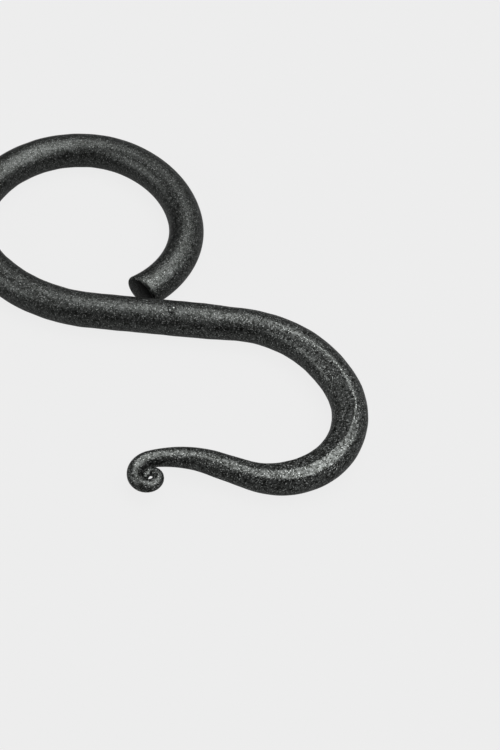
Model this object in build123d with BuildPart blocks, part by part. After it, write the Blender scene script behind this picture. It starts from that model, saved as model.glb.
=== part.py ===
from build123d import *
import os
from math import acos, degrees

os.makedirs("parts", exist_ok=True)

# A forged S hook, made from one length of round bar and lying in the XY plane, in millimetres.
# The bar's centre line stays in that plane. The eye's centre is the origin, and the hook hangs
# from it along -Y. A bend's angle is positive to the left and negative to the right.

# Bar
bar_diameter = 8.0
eye_back_diameter = 8.2
neck_diameter = 7.45
heel_diameter = 7.75
bowl_diameter = 7.3
arm_root_diameter = 5.85
arm_end_diameter = 5.4
crest_diameter = 3.65
tip_diameter = 1.7

# Eye, with the end of the bar curled in until it nearly meets the shank
eye_radius = 23.5
eye_start_angle = 20.0
eye_top_angle = 85.0
eye_back_radius = 22.5
eye_back_angle = 75.0
eye_flank_radius = 29.4
eye_flank_angle = -46.5
eye_end_radius = 21.6
end_gap = 0.4
end_slant = 14.0
end_rim_radius = 0.6

# Shank, from the eye to the hook's bend
easing_radius = 36.5
easing_angle = 45.0
shank_length = 24.7
neck_taper_length = 7.8

# Hook's bend, from its neck round to the arm
neck_radius = 27.5
neck_angle = -12.0
shoulder_radius = 27.5
shoulder_angle = -34.5
side_radius = 35.5
side_angle = -11.5
heel_radius = 19.0
heel_angle = -46.0
bowl_radius = 15.75
bowl_entry_angle = -27.0
bowl_middle_angle = -30.0
bowl_exit_angle = -34.0

# Arm, drawn out thinner and turned back over its crest
arm_length = 7.5
crest_radius = 22.8
crest_angle = 34.0

# Scroll, whose radius shrinks by the same ratio at every step
scroll_radius = 4.2
scroll_ratio = 0.845
scroll_step_angle = 46.0
scroll_steps = 9
tip_rim_radius = 0.25

# Hammered facets, above and below alike, that follow the hook's bend and its taper. Each facet's angle
# is how far it tilts outwards from upright, and its depth how far it lies under the round bar. At both
# ends it rises over one stretch until it clears the bar.
inner_facet_angle = -18.0
inner_facet_depth = 0.35
crown_facet_angle = 20.0
crown_facet_depth = 0.25
outer_facet_angle = 58.0
outer_facet_depth = 0.2
facet_rise = 0.3
facet_reach = 5.0

# Stretches of the limb in order, each a bend's radius and angle, or a straight's length and no angle,
# with the bar's diameter where the stretch ends
limb = [
    (eye_radius, eye_top_angle, eye_back_diameter),
    (eye_back_radius, eye_back_angle, eye_back_diameter),
    (easing_radius, easing_angle, bar_diameter),
    (shank_length, 0, bar_diameter),
    (neck_taper_length, 0, neck_diameter),
    (neck_radius, neck_angle, neck_diameter),
    (shoulder_radius, shoulder_angle, bar_diameter),
    (side_radius, side_angle, bar_diameter),
    (heel_radius, heel_angle, heel_diameter),
    (bowl_radius, bowl_entry_angle, heel_diameter),
    (bowl_radius, bowl_middle_angle, bowl_diameter),
    (bowl_radius, bowl_exit_angle, arm_root_diameter),
    (arm_length, 0, arm_end_diameter),
    (crest_radius, crest_angle, crest_diameter),
]
for step in range(scroll_steps):
    share = (step + 1) / scroll_steps
    diameter = crest_diameter + share * (tip_diameter - crest_diameter)
    limb.append((scroll_radius * scroll_ratio**step, scroll_step_angle, diameter))

# Centre line of the limb, from the eye's start to the scroll's tip
with BuildLine() as limb_line:
    start = PolarLine((0, 0), eye_radius, eye_start_angle, mode=Mode.PRIVATE) @ 1
    heading = Vector(0, 1).rotate(Axis.Z, eye_start_angle)
    stretches = []
    for size, angle, diameter in limb:
        if angle:
            stretch = JernArc(start, heading, size, angle)
        else:
            stretch = Line(start, start + heading * size)
        stretches.append(stretch)
        start = stretch @ 1
        heading = stretch % 1

shank = stretches[3]

# Centre line of the eye's end. The bar's outer corner stops short of the shank by the end gap.
bar_radius = bar_diameter / 2
with BuildLine() as end_line:
    flank = JernArc(stretches[0] @ 0, -(stretches[0] % 0), eye_flank_radius, eye_flank_angle)
    end_centre = flank @ 1 + (flank % 1).rotate(Axis.Z, -90) * eye_end_radius
    across_shank = (shank % 0).rotate(Axis.Z, 90)
    centre_height = (end_centre - shank @ 0).dot(across_shank)
    corner_angle = degrees(acos((centre_height - bar_radius - end_gap) / (eye_end_radius + bar_radius)))
    corner_spoke = (-across_shank).rotate(Axis.Z, corner_angle)
    end_angle = (flank @ 1 - end_centre).get_angle(corner_spoke)
    end = JernArc(flank @ 1, flank % 1, eye_end_radius, -(end_angle + end_slant))
corner = end_centre + corner_spoke * (eye_end_radius + bar_radius)
end_heading = corner_spoke.rotate(Axis.Z, end_slant - 90)

with BuildPart() as s_hook:
    # Eye's end, sawn off at a slant, with its rim eased
    with BuildSketch(Plane(flank @ 0, x_dir=(0, 0, 1), z_dir=flank % 0)):
        Circle(bar_radius)
    sweep(path=end_line.wire())
    with BuildSketch(Plane(corner, x_dir=(0, 0, 1), z_dir=end_heading)):
        Circle(2 * bar_diameter)
    extrude(amount=bar_diameter, mode=Mode.SUBTRACT)
    sawn_face = s_hook.faces().filter_by(GeomType.PLANE).sort_by_distance(corner)[0]
    fillet(sawn_face.edges(), radius=end_rim_radius)

    # Limb, each stretch swept from the diameter before it to its own
    diameter_before = bar_diameter
    for stretch, (size, angle, diameter) in zip(stretches, limb):
        with BuildSketch(Plane(stretch @ 0, x_dir=(0, 0, 1), z_dir=stretch % 0)):
            Circle(diameter_before / 2)
        with BuildSketch(Plane(stretch @ 1, x_dir=(0, 0, 1), z_dir=stretch % 1)):
            Circle(diameter / 2)
        sweep(path=stretch, multisection=True)
        diameter_before = diameter

    # Blunt tip of the scroll
    tip_face = s_hook.faces().filter_by(GeomType.PLANE).sort_by_distance(stretches[-1] @ 1)[0]
    fillet(tip_face.edges(), radius=tip_rim_radius)

    # Hammered facets, each with the stretch it starts on. All end on the arm. Each is cut by a block
    # that follows the limb at the facet's height above the centre line.
    shoulder, heel, bowl_entry, arm = 6, 8, 9, 12
    facets = [
        (inner_facet_angle, inner_facet_depth, shoulder),
        (crown_facet_angle, crown_facet_depth, heel),
        (outer_facet_angle, outer_facet_depth, bowl_entry),
    ]
    for facet_angle, depth, first in facets:
        for tilt in (-facet_angle, facet_angle - 180):
            height_before = limb[first - 1][2] / 2 + facet_rise
            for place in range(first, arm + 1):
                stretch = stretches[place]
                height = limb[place][2] / 2 + (facet_rise if place == arm else -depth)
                with BuildSketch(Plane(stretch @ 0, x_dir=(0, 0, 1), z_dir=stretch % 0)):
                    with Locations(Rot(0, 0, tilt) * Pos(height_before + facet_reach / 2, 0)):
                        Rectangle(facet_reach, 2 * facet_reach)
                with BuildSketch(Plane(stretch @ 1, x_dir=(0, 0, 1), z_dir=stretch % 1)):
                    with Locations(Rot(0, 0, tilt) * Pos(height + facet_reach / 2, 0)):
                        Rectangle(facet_reach, 2 * facet_reach)
                sweep(path=stretch, multisection=True, mode=Mode.SUBTRACT)
                height_before = height

s_hook.part.label = "s_hook"
export_step(s_hook.part, "parts/s_hook.step")
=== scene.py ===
import bpy
import numpy as np
from mathutils import Matrix, Vector


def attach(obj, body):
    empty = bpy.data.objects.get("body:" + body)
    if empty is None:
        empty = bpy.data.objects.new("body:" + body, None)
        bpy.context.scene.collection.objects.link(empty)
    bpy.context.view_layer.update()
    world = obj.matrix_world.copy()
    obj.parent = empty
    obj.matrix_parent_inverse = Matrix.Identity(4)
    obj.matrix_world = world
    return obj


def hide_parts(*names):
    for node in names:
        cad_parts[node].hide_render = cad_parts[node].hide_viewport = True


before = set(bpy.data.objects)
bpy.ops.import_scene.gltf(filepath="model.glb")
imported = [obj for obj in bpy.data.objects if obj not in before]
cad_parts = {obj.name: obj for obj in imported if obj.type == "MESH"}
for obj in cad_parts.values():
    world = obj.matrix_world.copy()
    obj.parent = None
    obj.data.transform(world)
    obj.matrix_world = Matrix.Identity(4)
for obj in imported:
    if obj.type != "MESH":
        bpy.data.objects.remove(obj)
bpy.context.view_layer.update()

# Bar
# The whole S hook is one length of 8 mm round iron bar, heated and bent in one plane. It is
# sawn off at the eye and drawn out thinner from the bowl on. Sizes here are in millimetres.
BAR_RADIUS = 4.0
AROUND = 128
RING_SPACING = 0.45
MM_IN_METRE = 1000


def unit(angle):
    """Unit vector at an angle, cosine and sine, for one angle or a whole array."""
    return np.stack([np.cos(angle), np.sin(angle)], axis=-1)


# The limb from the eye to the arm, its bends as (radius, degrees to the left, diameter at the far
# end) and its straights as (length, 0, diameter at the far end). The rows are the eye, the shank,
# the hook's bend, the bowl and the arm with its crest.
EYE_RADIUS, EYE_START_TURN, CREST_DIAMETER = 23.5, 20, 3.65
LIMB = [(EYE_RADIUS, 85, 8.2), (22.5, 75, 8.2), (36.5, 45, 8.0),
        (24.7, 0, 8.0), (7.8, 0, 7.45),
        (27.5, -12, 7.45), (27.5, -34.5, 8.0), (35.5, -11.5, 8.0), (19.0, -46, 7.75),
        (15.75, -27, 7.75), (15.75, -30, 7.3), (15.75, -34, 5.85),
        (7.5, 0, 5.4), (22.8, 34, CREST_DIAMETER)]
SHANK_STRETCH = 3
# The scroll, whose radius shrinks by the same ratio at every step
SCROLL_RADIUS, SCROLL_RATIO, SCROLL_TURN, SCROLL_STEPS, SCROLL_DIAMETER = 4.2, 0.845, 46, 9, 1.7
LIMB += [(SCROLL_RADIUS * SCROLL_RATIO**step, SCROLL_TURN,
          CREST_DIAMETER + (step + 1) / SCROLL_STEPS * (SCROLL_DIAMETER - CREST_DIAMETER))
         for step in range(SCROLL_STEPS)]
# The scroll's thin last end, drawn out and curled under
LIMB += [(2.4, 14, 1.55), (1.7, 22, 1.35)]


def follow(start, heading, chain, spacing, closer=()):
    """Centre line of a chain of bends and straights. A bend's length is its radius times its turn,
    the heading changes evenly along it, and each step is the chord of its piece of arc. The steps
    keep the spacing and also stop at the closer places. Returns the length walked, the points, the
    headings and the places where one stretch ends and the next begins."""
    turns = np.radians([turn for _, turn, _ in chain])
    lengths = np.array([size * abs(np.radians(turn)) if turn else size for size, turn, _ in chain])
    marks = np.concatenate([[0], np.cumsum(lengths)])
    bearings = heading + np.concatenate([[0], np.cumsum(turns)])
    walked = np.unique(np.concatenate([marks, np.arange(0, marks[-1], spacing), closer]))
    headings = np.interp(walked, marks, bearings)
    half = np.diff(headings) / 2
    chord = np.diff(walked) * np.sinc(half / np.pi)
    middle = (headings[1:] + headings[:-1]) / 2
    steps = chord[:, None] * unit(middle)
    points = start + np.concatenate([np.zeros((1, 2)), np.cumsum(steps, axis=0)])
    return walked, points, headings, marks


around = np.linspace(0, 2 * np.pi, AROUND, endpoint=False)


def spokes(left):
    """Unit spokes round every ring of the bar: a spoke's cosine along the ring's direction to the
    left, and its sine upwards."""
    sideways = left[:, None, :] * np.cos(around)[None, :, None]
    upwards = np.broadcast_to(np.sin(around)[None, :, None], (len(left), AROUND, 1))
    return np.concatenate([sideways, upwards], axis=2)


def in_space(points):
    """Points of the bar's own plane with a height of 0, which is that of its centre line."""
    return np.pad(points, ((0, 0), (0, 1)))


# Rings of the limb, from the eye's start to the scroll's tip. They are closer together at a blister
# on the shank, over a little more than its width.
EYE_START = EYE_RADIUS * unit(np.radians(EYE_START_TURN))
EYE_HEADING = np.radians(EYE_START_TURN + 90)
BLISTER_PLACE, BLISTER_RADIUS, BLISTER_HEIGHT = 111.1, 1.15, 0.16
BLISTER_REACH, BLISTER_RINGS = 1.2, 25
blister_rings = (BLISTER_PLACE
                 + np.linspace(-BLISTER_REACH, BLISTER_REACH, BLISTER_RINGS) * BLISTER_RADIUS)
walked, points, headings, marks = follow(EYE_START, EYE_HEADING, LIMB, RING_SPACING, blister_rings)
diameters = np.array([2 * BAR_RADIUS] + [diameter for _, _, diameter in LIMB])
radii = np.interp(walked, marks, diameters / 2)
left = unit(headings + np.pi / 2)
spoke = spokes(left)
centres = in_space(points)

# Drawing and hammer marks: three long, shallow waves that wind round the bar and only ever sink
# into it. Each has its share, its length along the bar for one radian, its turns round the bar and
# its start. They fade in over the first part of the eye, and they get shallower as the bar thins.
WAVES = [(0.4, 1.16, 2, 0.6), (0.3, 0.65, -3, 2.1), (0.3, 1.86, 1, 4.0)]
WAVE_DEPTH, WAVE_FADE = 0.08, 8
waves = sum(share * np.sin(walked[:, None] / length + turns * around + start)
            for share, length, turns, start in WAVES)
fading = np.clip(walked / WAVE_FADE, 0, 1) * (radii / BAR_RADIUS) ** 2
marked = radii[:, None] - WAVE_DEPTH * fading[:, None] * (0.5 + 0.5 * waves)
limb_grid = centres[:, None, :] + marked[..., None] * spoke

# The blister is a low dome on top, whose height falls off from its middle as one minus the squared
# share of its radius
BLISTER = np.array([0.20, -38.30, 3.91])
from_blister = np.linalg.norm(limb_grid - BLISTER, axis=2) / BLISTER_RADIUS
dome = BLISTER_HEIGHT * (1 - np.clip(from_blister, 0, 1) ** 2)
limb_grid = limb_grid + dome[..., None] * spoke

# The eye's end, walked backwards from the eye's start: its flank, then the end bend up to the
# sawn face. The outer corner of the face stops short of the shank by the end gap, and the face
# is a plane at cut_reach from the end bend's centre, square to the direction of cut_angle.
FLANK_RADIUS, FLANK_TURN = 29.4, -46.5
END_RADIUS, END_GAP, END_SLANT, END_RIM = 21.6, 0.4, 14.0, 0.6
OUTER_RADIUS = END_RADIUS + BAR_RADIUS
_, flank_points, flank_headings, _ = follow(
    EYE_START, EYE_HEADING - np.pi, [(FLANK_RADIUS, FLANK_TURN, 2 * BAR_RADIUS)], RING_SPACING)
end_centre = flank_points[-1] + END_RADIUS * unit(flank_headings[-1] - np.pi / 2)
shank_ring = np.searchsorted(walked, marks[SHANK_STRETCH])
across_shank = left[shank_ring]
centre_height = (end_centre - points[shank_ring]) @ across_shank
corner_turn = np.arccos((centre_height - BAR_RADIUS - END_GAP) / OUTER_RADIUS)
corner_angle = np.arctan2(-across_shank[1], -across_shank[0]) + corner_turn
cut_angle = corner_angle + np.radians(END_SLANT - 90)
cut_reach = OUTER_RADIUS * np.cos(corner_angle - cut_angle)


def about_end(reach, angle, height):
    """Points about the end bend's centre, at a reach along the unit vector of an angle, and at a
    height."""
    flat = end_centre + reach[..., None] * unit(angle)
    return np.concatenate([flat, np.broadcast_to(height, angle.shape)[..., None]], axis=2)


def end_ring(radius, depth):
    """Rings of the eye's end at a depth behind the sawn plane, and their points' angles. Each point
    lies on its own circle about the end bend's centre, at the angle whose cosine is the plane's
    distance over that circle's radius."""
    reach = END_RADIUS - radius * np.cos(around)[None, :]
    angle = cut_angle + np.arccos((cut_reach - depth) / reach)
    return about_end(reach, angle, radius * np.sin(around)), angle


# The sawn face from its middle outwards, then its eased rim, the end bend and the flank
FACE_RINGS, FACE_RIM_RINGS, END_RINGS, FACE_MIDDLE = 14, 8, 55, 0.02
face_rows = np.linspace(FACE_MIDDLE, BAR_RADIUS - END_RIM, FACE_RINGS)[:, None]
face_grid, _ = end_ring(face_rows, np.zeros_like(face_rows))
rim_turn = np.linspace(0, np.pi / 2, FACE_RIM_RINGS + 1)[1:, None]
rim_grid, rim_angle = end_ring(BAR_RADIUS - END_RIM * (1 - np.sin(rim_turn)),
                               END_RIM * (1 - np.cos(rim_turn)))
# The end bend runs from the rim to the angle of the flank's end, counted in the rim's own turn
flank_end = flank_points[-1] - end_centre
first_angle = np.arctan2(flank_end[1], flank_end[0])
first_angle += 2 * np.pi * np.round((rim_angle.mean() - first_angle) / (2 * np.pi))
share = np.linspace(0, 1, END_RINGS + 1)[1:, None]
bend_angle = rim_angle[-1] + share * (first_angle - rim_angle[-1])
bend_grid = about_end(END_RADIUS - BAR_RADIUS * np.cos(around), bend_angle,
                      BAR_RADIUS * np.sin(around))
flank_left = -unit(flank_headings + np.pi / 2)
flank_grid = in_space(flank_points)[:, None, :] + BAR_RADIUS * spokes(flank_left)
flank_grid = flank_grid[::-1][1:-1]

# The blunt tip of the scroll, its rim eased as the bar's end is and its face closed by two rings
TIP_RIM, TIP_RIM_RINGS, TIP_FACE_SHARE, TIP_MIDDLE = 0.25, 5, 0.45, 0.01
tip_turn = np.linspace(0, np.pi / 2, TIP_RIM_RINGS + 1)[1:]
tip_rows = np.concatenate([radii[-1] - TIP_RIM * (1 - np.cos(tip_turn)),
                           [TIP_FACE_SHARE * radii[-1], TIP_MIDDLE]])
tip_reach = np.concatenate([TIP_RIM * (np.sin(tip_turn) - 1), [0, 0]])
tip_heading = np.append(unit(headings[-1]), 0)
tip_grid = (centres[-1] + tip_rows[:, None, None] * spoke[-1]
            + tip_reach[:, None, None] * tip_heading)
limb_grid = limb_grid[walked < marks[-1] - TIP_RIM]

grid = np.concatenate([face_grid, rim_grid, bend_grid, flank_grid, limb_grid, tip_grid])


def pressed(reach, limit, ease):
    """Soft minimum of two heights: minus the ease times the log of the sum of two exponentials,
    each of minus one height over the ease."""
    return limit - ease * np.logaddexp(0, (limit - reach) / ease)


# Hammered facets of the hook's bend and arm: the reach from the centre line along each facet's
# direction is held under the bar's radius less the facet's depth. Each row is a place along the
# bar, the facet's tilt outwards from upright in degrees there, its depth, which is negative where
# the facet has run out, and how much the coat's brightness is scaled there beside that of the round
# bar, which paints in highlight where it is over 1 and shade where it is under 1.
INNER_FACET = [(129, -28, -0.3, 1.0), (134, -28, 0.02, 0.9), (141, -25, 0.20, 0.8),
               (151, -19, 0.35, 0.75), (157, -16, 0.42, 0.7), (163, -11, 0.48, 0.65),
               (168, -12, 0.44, 0.65), (171, -14, 0.40, 0.75), (175, -17, 0.38, 0.95),
               (183, -16, 0.36, 1.05), (190, -18, 0.22, 1.15), (197, -18, 0.12, 1.15),
               (203, -18, -0.3, 1.0)]
CROWN_FACET = [(160, 24, -0.1, 1.2), (168, 26, 0.13, 1.4), (171, 25, 0.16, 1.4),
               (175, 21, 0.17, 1.4), (182, 27, 0.20, 1.35), (186, 20, 0.17, 1.4),
               (190, 17, 0.13, 1.45), (197, 15, 0.11, 1.5), (204, 12, 0.05, 1.3),
               (208, 10, 0.08, 1.4), (217, 9, 0.13, 1.4), (222, 8, 0.06, 1.1),
               (226, 3, -0.1, 1.0)]
OUTER_FACET = [(170, 58, -0.3, 1.0), (176, 58, 0.12, 1.3), (184, 58, 0.20, 1.4),
               (194, 58, 0.20, 1.3), (202, 58, -0.3, 1.0)]
# The inner and crown facets are above and below alike, and the outer one is above alone
FACETS = [(INNER_FACET, 1), (INNER_FACET, -1), (CROWN_FACET, 1), (CROWN_FACET, -1),
          (OUTER_FACET, 1)]
NO_FACET = -3.0
EDGE_EASE, PAINTED_LIGHT_EASE = 0.03, 0.04
# A painted highlight runs along each of the inner facet's two edges, each given as places along
# the bar with the brightness that it adds, and as its width. The outer one narrows until the crown
# facet takes over, and the inner one is fainter and wider.
OUTER_RIDGE_HIGHLIGHT = ([132, 142, 164, 171], [0, 1.0, 1.2, 0])
OUTER_RIDGE_HIGHLIGHT_WIDTH = ([140, 160], [0.20, 0.08])
INNER_RIDGE_HIGHLIGHT = ([141, 147, 154, 158], [0, 0.3, 0.3, 0])
INNER_RIDGE_HIGHLIGHT_WIDTH = 0.3
first_ring = len(grid) - len(tip_grid) - len(limb_grid)
limb_part = slice(first_ring, first_ring + len(limb_grid))
limb_walked, limb_left = walked[:len(limb_grid)], left[:len(limb_grid), None, :]
painted_light = np.ones(grid.shape[:2])
for facet, up in FACETS:
    places, tilts, depths, painted_light_scales = np.array(facet).T
    tilt = np.radians(np.interp(limb_walked, places, tilts))[:, None]
    depth = np.interp(limb_walked, places, depths, left=NO_FACET, right=NO_FACET)
    limit = (radii[:len(limb_grid)] - depth)[:, None]
    offset = grid[limb_part] - centres[:len(limb_grid), None, :]
    outward = np.sum(offset[..., :2] * limb_left, axis=-1)
    reach = outward * np.sin(tilt) + up * np.cos(tilt) * offset[..., 2]
    sunk = reach - pressed(reach, limit, EDGE_EASE)
    grid[limb_part, :, :2] -= (sunk * np.sin(tilt))[..., None] * limb_left
    grid[limb_part, :, 2] -= sunk * up * np.cos(tilt)
    painted_light_there = np.interp(limb_walked, places, painted_light_scales)[:, None]
    # Scaling the coat's brightness here paints highlight on the crown and outer facets and shade on
    # the inner one
    painted_light[limb_part] *= 1 + (painted_light_there - 1) * np.clip((reach - limit) / PAINTED_LIGHT_EASE, 0, 1)
    if facet is INNER_FACET:
        # A point is outside where it lies beyond the facet's middle, away from the bend's centre
        outside = outward * np.cos(tilt) - up * np.sin(tilt) * offset[..., 2] > 0
        # Painted highlights along the inner facet's two edges
        added = np.interp(limb_walked, *OUTER_RIDGE_HIGHLIGHT)[:, None]
        width = np.interp(limb_walked, *OUTER_RIDGE_HIGHLIGHT_WIDTH)[:, None]
        painted_light[limb_part] += added * outside * np.exp(-((reach - limit) / width) ** 2)
        added = np.interp(limb_walked, *INNER_RIDGE_HIGHLIGHT)[:, None]
        painted_light[limb_part] += added * ~outside * np.exp(-((reach - limit) / INNER_RIDGE_HIGHLIGHT_WIDTH) ** 2)

# Quads between neighbouring rings, and a fan of triangles to a pole at each end
rows = len(grid)
row, col = np.meshgrid(np.arange(rows - 1), np.arange(AROUND), indexing="ij")
corner = row * AROUND + col
beside = row * AROUND + (col + 1) % AROUND
faces = np.stack([corner, corner + AROUND, beside + AROUND, beside], axis=-1).reshape(-1, 4)
start_pole, end_pole = rows * AROUND, rows * AROUND + 1
poles = np.stack([grid[0].mean(axis=0), grid[-1].mean(axis=0)])
verts = np.concatenate([grid.reshape(-1, 3), poles]) / MM_IN_METRE
ring = np.arange(AROUND)
ring_next = (ring + 1) % AROUND
start_cap = np.stack([np.full(AROUND, start_pole), ring, ring_next], axis=1)
last = (rows - 1) * AROUND
end_cap = np.stack([np.full(AROUND, end_pole), last + ring_next, last + ring], axis=1)

mesh = bpy.data.meshes.new("forged_bar")
mesh.from_pydata(verts.tolist(), [], faces.tolist() + start_cap.tolist() + end_cap.tolist())
mesh.polygons.foreach_set("use_smooth", np.ones(len(mesh.polygons), dtype=bool))


def keep_on_mesh(name, values):
    """Stores one number for each vertex as an attribute, which the coat reads by its name."""
    attribute = mesh.attributes.new(name, "FLOAT", "POINT")
    attribute.data.foreach_set("value", values.astype(np.float32))


# How dark the coat is: on the sawn face, which is darker than the rest of the bar and carries
# painted shade that grows towards its top and the shank, and a painted shadow on the shank where
# the end all but touches it
FACE_DARKENING, TOP_SHADE, SHANK_SIDE_SHADE = 0.50, 0.45, 0.40
TOUCH_SHIFT, TOUCH_HEIGHT, TOUCH_SHADE_REACH, TOUCH_SHADE_FADE = (0, 1.2), 1.8, 3.6, 2.4
dark_face_and_shade = np.zeros(len(verts))
towards_shank = TOP_SHADE * np.sin(around) - SHANK_SIDE_SHADE * np.cos(around)
face_darkening = np.clip(FACE_DARKENING + towards_shank[None, :] * face_rows / BAR_RADIUS, 0, 1)
# Painted shadow on the shank round where the eye's end all but touches it
corner_spot = end_centre + (OUTER_RADIUS + END_GAP / 2) * unit(corner_angle)
touch = np.append(corner_spot + TOUCH_SHIFT, TOUCH_HEIGHT)
from_touch = np.linalg.norm(verts[first_ring * AROUND:] * MM_IN_METRE - touch, axis=1)
dark_face_and_shade[first_ring * AROUND:] = np.clip((TOUCH_SHADE_REACH - from_touch) / TOUCH_SHADE_FADE, 0, 1)
dark_face_and_shade[:face_darkening.size] = face_darkening.ravel()
dark_face_and_shade[start_pole] = FACE_DARKENING
keep_on_mesh("dark_face_and_shade", dark_face_and_shade)

# How much the coat's brightness is scaled beside that of the round bar, which the two poles are
# part of. This paints highlight and shade on the facets and highlights along the inner facet's
# edges.
keep_on_mesh("painted_light", np.append(painted_light.ravel(), [1, 1]))
mesh.update()
forged_bar = bpy.data.objects.new("forged_bar", mesh)
bpy.context.scene.collection.objects.link(forged_bar)


class Value:
    """A socket that adds its own Math nodes when it is added, subtracted or multiplied."""

    tree = None

    def __init__(self, socket):
        self.socket = socket

    @classmethod
    def node(cls, kind, settings=None, **inputs):
        """Adds a node of this kind, sets its settings first and then its sockets' values or links.
        A socket is given by its name, or by the letter i and its number."""
        made = cls.tree.nodes.new(kind)
        for name, value in (settings or {}).items():
            setattr(made, name, value)
        for name, value in inputs.items():
            key = int(name[1:]) if name[1:].isdigit() else name
            if isinstance(value, Value):
                cls.tree.links.new(value.socket, made.inputs[key])
            else:
                made.inputs[key].default_value = value
        return made

    def _math(self, operation, a, b, clamp=False):
        settings = {"operation": operation, "use_clamp": clamp}
        return Value(Value.node("ShaderNodeMath", settings, i0=a, i1=b).outputs[0])

    def __add__(self, other):
        return self._math("ADD", self, other)

    def __sub__(self, other):
        return self._math("SUBTRACT", self, other)

    def __rsub__(self, other):
        return self._math("SUBTRACT", other, self)

    def __mul__(self, other):
        return self._math("MULTIPLY", self, other)

    __radd__ = __add__
    __rmul__ = __mul__

    def over(self, low, high):
        """Share of the way from low to high, held between 0 and 1."""
        return self._math("DIVIDE", self - low, high - low, clamp=True)


def mix(share, first, second):
    """The colour that lies this share of the way from the first colour to the second."""
    made = Value.node("ShaderNodeMix", {"data_type": "RGBA"}, i0=share, i6=first, i7=second)
    return Value(made.outputs[2])


# The bar's coat is a thin, fine-grained, satin black that lies all over it, over the scale and the
# hammer marks. Its tiny crystals glint where they face a lamp.
coat = bpy.data.materials.new("black_iron_coat")
coat.use_nodes = True
Value.tree = coat.node_tree
surface = coat.node_tree.nodes["Principled BSDF"]
place = Value(Value.node("ShaderNodeTexCoord").outputs["Object"])


def noise(scale, detail, roughness=0.5):
    """Soft noise over the bar around a half, with this many swells to the metre."""
    made = Value.node("ShaderNodeTexNoise", Vector=place, Scale=scale, Detail=detail,
                      Roughness=roughness)
    return Value(made.outputs["Fac"])


def mesh_value(name):
    """The number that the mesh keeps at each vertex under this name."""
    return Value(Value.node("ShaderNodeAttribute", {"attribute_name": name}).outputs["Fac"])


# The grain runs from dark to pale scale, and the glints lie over it. Both are boldest at the bowl
# and lose some of their contrast towards the eye.
DARK_SCALE, PALE_SCALE = (0.0158, 0.0170, 0.0150, 1), (0.1460, 0.1530, 0.1485, 1)
GRAIN_RANGE, GRAIN_AT_BOWL, GRAIN_LOSS, EYE_LIFT = (0.40, 0.71), 1.10, 0.40, 0.10
GLINT_COLOUR = (0.43, 0.446, 0.436, 1)
GLINT_RANGE, GLINT_AT_BOWL, GLINT_LOSS = (0.61, 0.81), 1.1, 0.5
BOWL_END, EYE_MIDDLE = -0.085, 0.0
grain, glint, patch = noise(1500.0, 3.0, 0.8), noise(3600.0, 0.0), noise(600.0, 2.0)
place_along = Value(Value.node("ShaderNodeSeparateXYZ", Vector=place).outputs["Y"])
towards_eye = place_along.over(BOWL_END, EYE_MIDDLE)
speckle = (grain.over(*GRAIN_RANGE) * (GRAIN_AT_BOWL - GRAIN_LOSS * towards_eye)
           + EYE_LIFT * towards_eye)
glinting = glint.over(*GLINT_RANGE) * (GLINT_AT_BOWL - GLINT_LOSS * towards_eye)
tint = mix(glinting, mix(speckle, DARK_SCALE, PALE_SCALE), GLINT_COLOUR)

# The facets' painted highlight and shade scale the coat's brightness, and the dark sawn face with
# its painted shade and the painted shadow on the shank are mixed over it
DARK_FACE_AND_SHADE_COLOUR = (0.004, 0.004, 0.004, 1)
darkened = mesh_value("dark_face_and_shade")
tint = Value(Value.node("ShaderNodeVectorMath", {"operation": "SCALE"}, i0=tint,
                        Scale=mesh_value("painted_light")).outputs["Vector"])
tint = mix(darkened, tint, DARK_FACE_AND_SHADE_COLOUR)


def spot(centre, inner, outer):
    """Share that is 1 within the inner distance of a point on the bar and 0 beyond the outer."""
    away = Value.node("ShaderNodeVectorMath", {"operation": "DISTANCE"}, i0=place, i1=centre)
    return 1 - Value(away.outputs["Value"]).over(inner, outer)


# Painted shade darkens the coat round the blister's near side, and two painted highlights sit on
# the blister. Their places and reaches are in metres.
BLISTER_PAINTED_SHADE, BLISTER_SHADE = (0.008, 0.008, 0.008, 1), 0.75
BLISTER_PAINTED_HIGHLIGHT = (0.75, 0.78, 0.75, 1)
blister_spot = spot(tuple(BLISTER / MM_IN_METRE), 0.00090, 0.00120)
unshaded_spot = spot((0.00018, -0.03795, 0.00393), 0.00060, 0.00085)
large_highlight_spot = spot((0.00071, -0.03811, 0.00398), 0.00010, 0.00026)
small_highlight_spot = spot((-0.00027, -0.03810, 0.00386), 0.00006, 0.00022)
tint = mix(BLISTER_SHADE * (blister_spot * (1 - unshaded_spot)), tint, BLISTER_PAINTED_SHADE)
tint = mix(large_highlight_spot + small_highlight_spot, tint, BLISTER_PAINTED_HIGHLIGHT)
coat.node_tree.links.new(tint.socket, surface.inputs["Base Color"])

# Patches, glints and the darkened sawn face and painted shade are rougher than the rest of it, and
# the grain stands up a little
ROUGHNESS, PATCH_ROUGHNESS, GLINT_ROUGHNESS, DARKENED_ROUGHNESS = 0.395, 0.08, 0.20, 0.4
PATCH_RANGE, GLINT_REACH, GRAIN_HEIGHT = (0.3, 0.7), (0.52, 0.80), 0.00005
rough = (ROUGHNESS + PATCH_ROUGHNESS * patch.over(*PATCH_RANGE)
         + GLINT_ROUGHNESS * glint.over(*GLINT_REACH) + DARKENED_ROUGHNESS * darkened)
coat.node_tree.links.new(rough.socket, surface.inputs["Roughness"])
bump = Value.node("ShaderNodeBump", Strength=1.0, Distance=GRAIN_HEIGHT, Height=grain)
coat.node_tree.links.new(bump.outputs["Normal"], surface.inputs["Normal"])
surface.inputs["Metallic"].default_value = 1.0
surface.inputs["Specular Tint"].default_value = (1.0, 1.0, 1.0, 1)
mesh.materials.append(coat)
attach(forged_bar, "root")
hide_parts("s_hook")

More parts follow.
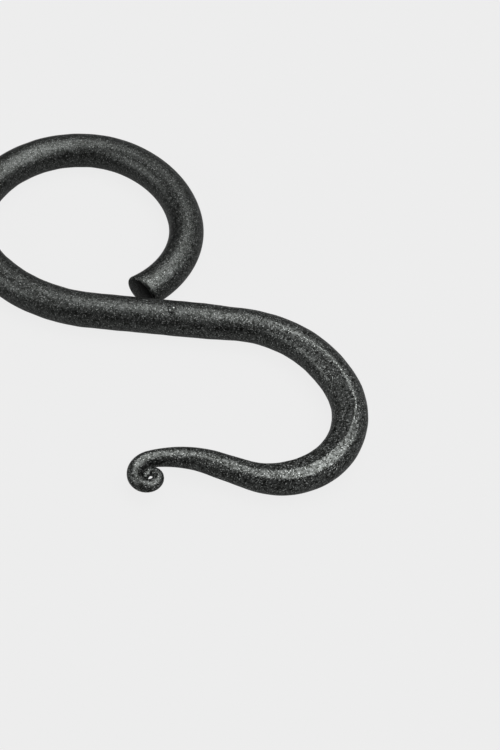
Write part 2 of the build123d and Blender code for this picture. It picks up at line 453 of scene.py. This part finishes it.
# Table
# A pale plain surface that the hook lies flat on. The camera sees it as an even pale grey, with a
# faint shadow close to the bar, and the bar's reflections see mostly how the lamps light it.
FLOOR_HEIGHT, HALF_FLOOR = -0.0041, 3
floor_corners = [(-1, -1), (1, -1), (1, 1), (-1, 1)]
floor_mesh = bpy.data.meshes.new("table")
floor_mesh.from_pydata([(HALF_FLOOR * x, HALF_FLOOR * y, FLOOR_HEIGHT) for x, y in floor_corners],
                       [], [(0, 1, 2, 3)])
table = bpy.data.objects.new("table", floor_mesh)
bpy.context.scene.collection.objects.link(table)
LIT_COLOUR, SEEN_COLOUR = (0.2, 0.2, 0.2, 1), (0.929, 0.929, 0.929, 1)
SEEN_SHARE, REFLECTED_SHARE = 0.88, 0.2
pale = bpy.data.materials.new("pale_table")
pale.use_nodes = True
Value.tree = pale.node_tree
Value.tree.nodes.remove(Value.tree.nodes["Principled BSDF"])
lit = Value(Value.node("ShaderNodeBsdfDiffuse", Color=LIT_COLOUR).outputs[0])
even = Value(Value.node("ShaderNodeEmission", Color=SEEN_COLOUR, Strength=1.0).outputs[0])
path = Value.node("ShaderNodeLightPath").outputs
looked_at = Value(path["Is Camera Ray"]) + Value(path["Is Transmission Ray"])
share_even = SEEN_SHARE * looked_at + REFLECTED_SHARE * Value(path["Is Glossy Ray"])
seen = Value(Value.node("ShaderNodeMixShader", i0=share_even, i1=lit, i2=even).outputs[0])
Value.tree.links.new(seen.socket, Value.tree.nodes["Material Output"].inputs["Surface"])
floor_mesh.materials.append(pale)

# Lamps
# One wide softbox nearly overhead, a narrower and weaker one low on the left, and a dim room that
# is lighter behind the hook and to its right.
AIM = Vector((0.0043, -0.0609, 0.0))


def softbox(name, away, along, length, width, power):
    """Area lamp one metre away from the middle of the view, turned to face it. Its length runs as
    nearly along the second direction as it can."""
    lamp = bpy.data.lights.new(name, "AREA")
    lamp.shape, lamp.size, lamp.size_y, lamp.energy = "RECTANGLE", length, width, power
    stand = bpy.data.objects.new(name, lamp)
    back = Vector(away).normalized()
    side = back.cross(Vector(along)).normalized()
    stand.location = AIM + back
    stand.rotation_euler = Matrix((side.cross(back), side, back)).transposed().to_euler()
    bpy.context.scene.collection.objects.link(stand)


softbox("overhead_softbox", away=(0.280, -0.180, 0.943), along=(0.032, 0.977, 0.209),
        length=1.55, width=0.85, power=16.5)
softbox("side_softbox", away=(-0.750, 0.410, 0.519), along=(-0.330, -0.937, 0.116),
        length=0.70, width=0.28, power=3.0)

LIGHTER_SIDE = (0.965, 0.263, 0.0)
DIM_WALL, LIGHT_WALL = (0.015, 0.015, 0.015, 1), (0.15, 0.15, 0.15, 1)
room = bpy.data.worlds.new("room")
room.use_nodes = True
bpy.context.scene.world = room
Value.tree = room.node_tree
towards = Value(Value.node("ShaderNodeTexCoord").outputs["Generated"])
to_lighter = Value(Value.node("ShaderNodeVectorMath", {"operation": "DOT_PRODUCT"}, i0=towards,
                              i1=LIGHTER_SIDE).outputs["Value"])
shade = mix(to_lighter.over(0.0, 0.9), DIM_WALL, LIGHT_WALL)
Value.tree.links.new(shade.socket, Value.tree.nodes["Background"].inputs["Color"])

# Camera
# It looks down at the hook from 51.5 degrees above the table and 0.4 m away, through a long lens.
# The hook's length is turned 37.9 degrees from the line of sight.
LENS_PIXELS, FRAME_PIXELS, PIXELS_PER_MM, SENSOR = 1850, 750, 4.61, 36.0
ELEVATION, BEARING = np.radians(51.5), np.radians(90 - 37.9016)
camera = bpy.data.cameras.new("camera")
camera.sensor_width, camera.sensor_fit = SENSOR, "AUTO"
camera.lens = LENS_PIXELS / FRAME_PIXELS * SENSOR
camera.clip_start, camera.clip_end = 0.01, 20.0
distance = LENS_PIXELS / MM_IN_METRE / PIXELS_PER_MM
level = distance * np.cos(ELEVATION)
eye_point = bpy.data.objects.new("camera", camera)
eye_point.location = AIM + Vector((-level * np.cos(BEARING), -level * np.sin(BEARING),
                                   distance * np.sin(ELEVATION)))
eye_point.rotation_euler = (eye_point.location - AIM).to_track_quat("Z", "Y").to_euler()
bpy.context.scene.collection.objects.link(eye_point)
bpy.context.scene.camera = eye_point
bpy.context.scene.view_settings.view_transform = "Standard"
